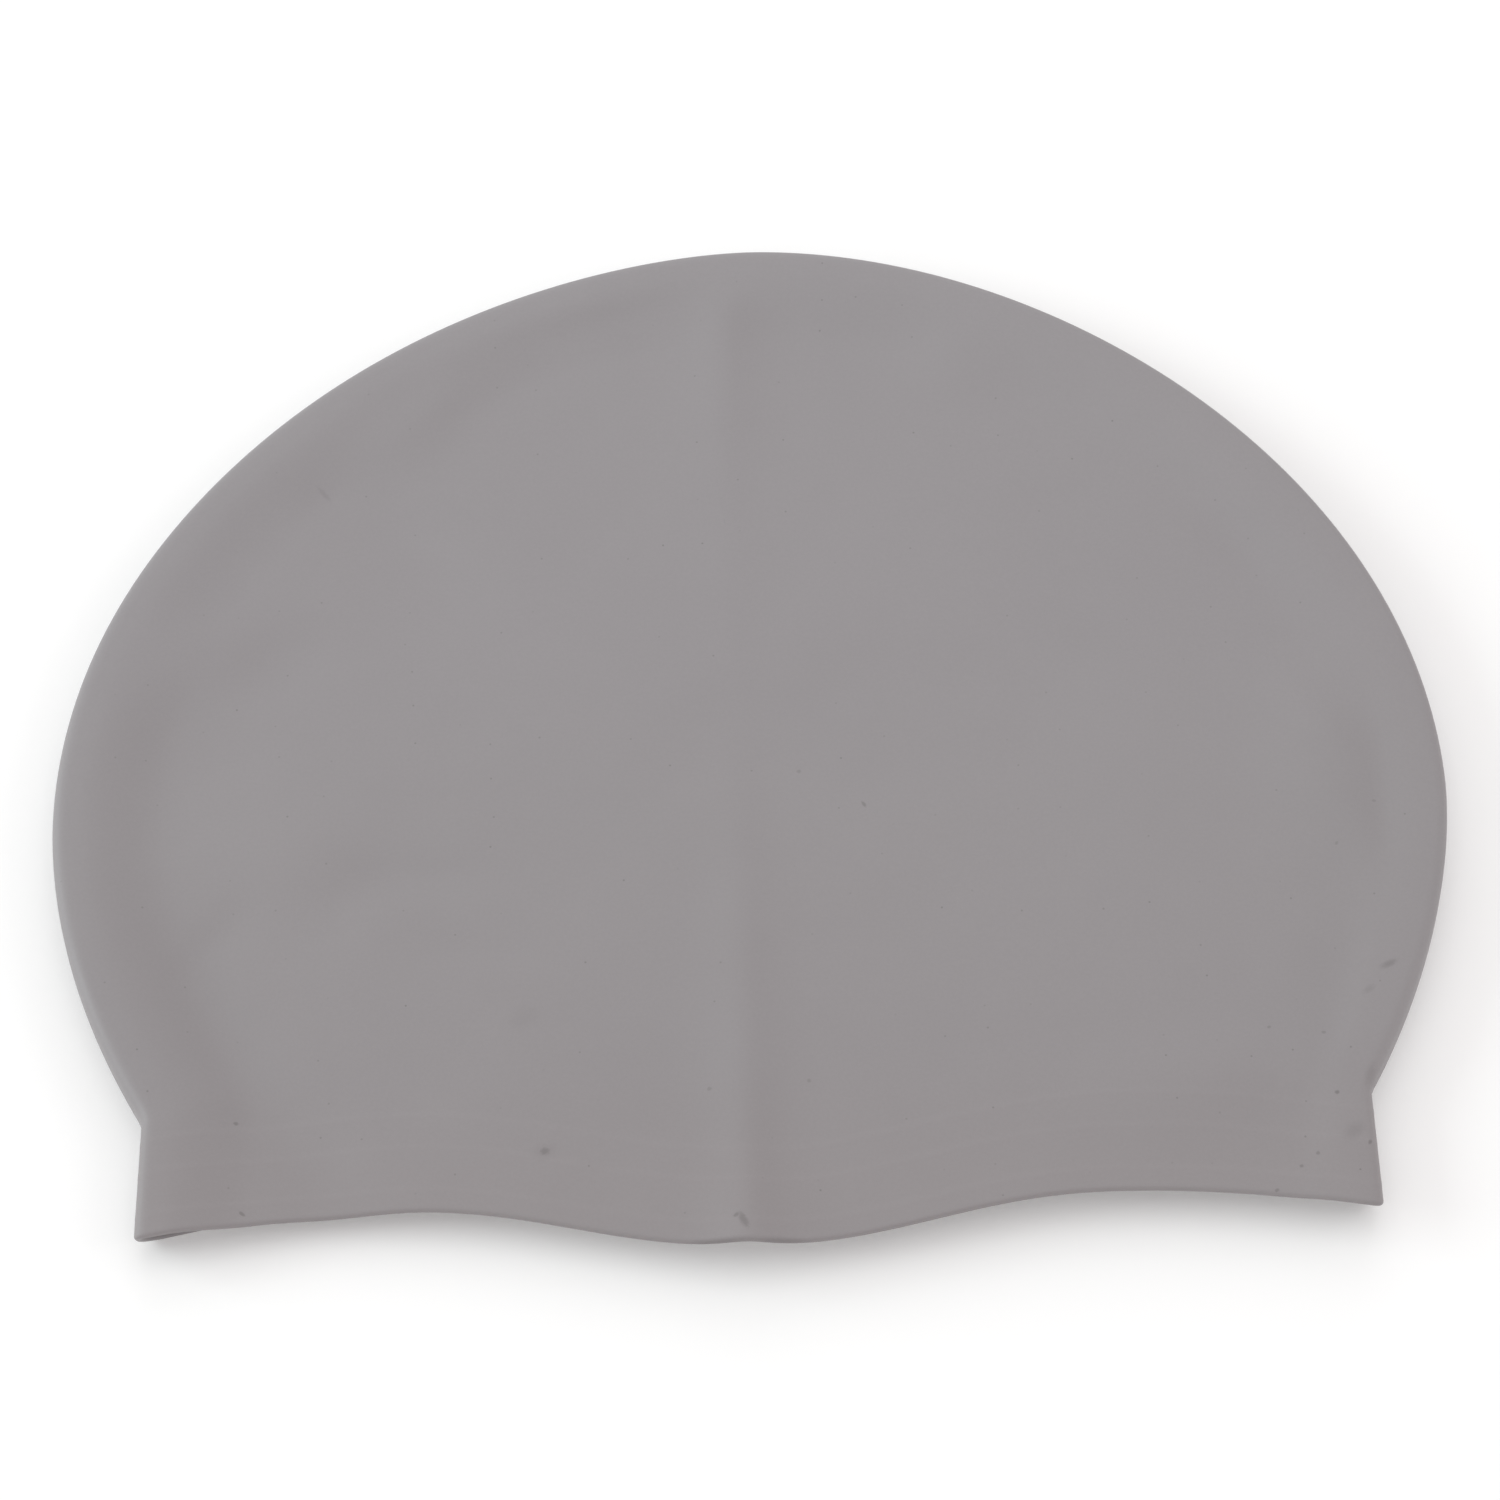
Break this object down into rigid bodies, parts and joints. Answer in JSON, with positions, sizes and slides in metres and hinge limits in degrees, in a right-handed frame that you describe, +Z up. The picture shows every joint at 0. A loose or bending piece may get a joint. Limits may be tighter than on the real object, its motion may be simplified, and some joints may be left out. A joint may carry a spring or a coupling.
{
  "type": "swim cap",
  "caption": "Moulded silicone swim cap lying flat, with a round crown, rolled folded edges, a soft centre crease and a wavy ribbed hem open at the rim.",
  "frame": {"origin": "middle of the bounding box's bottom face, on the surface that the cap lies on", "axes": "+Z up, +Y towards the top of the crown, -Y towards the rim, +X to the right in the picture"},
  "size_m": [0.2254, 0.1866, 0.0092],
  "materials": {
    "silicone": "satin grey silicone rubber, evenly coloured, with faint mottling and a few specks"
  },
  "bodies": {
    "root": {"cap_shell": "silicone"}
  },
  "joints": []
}
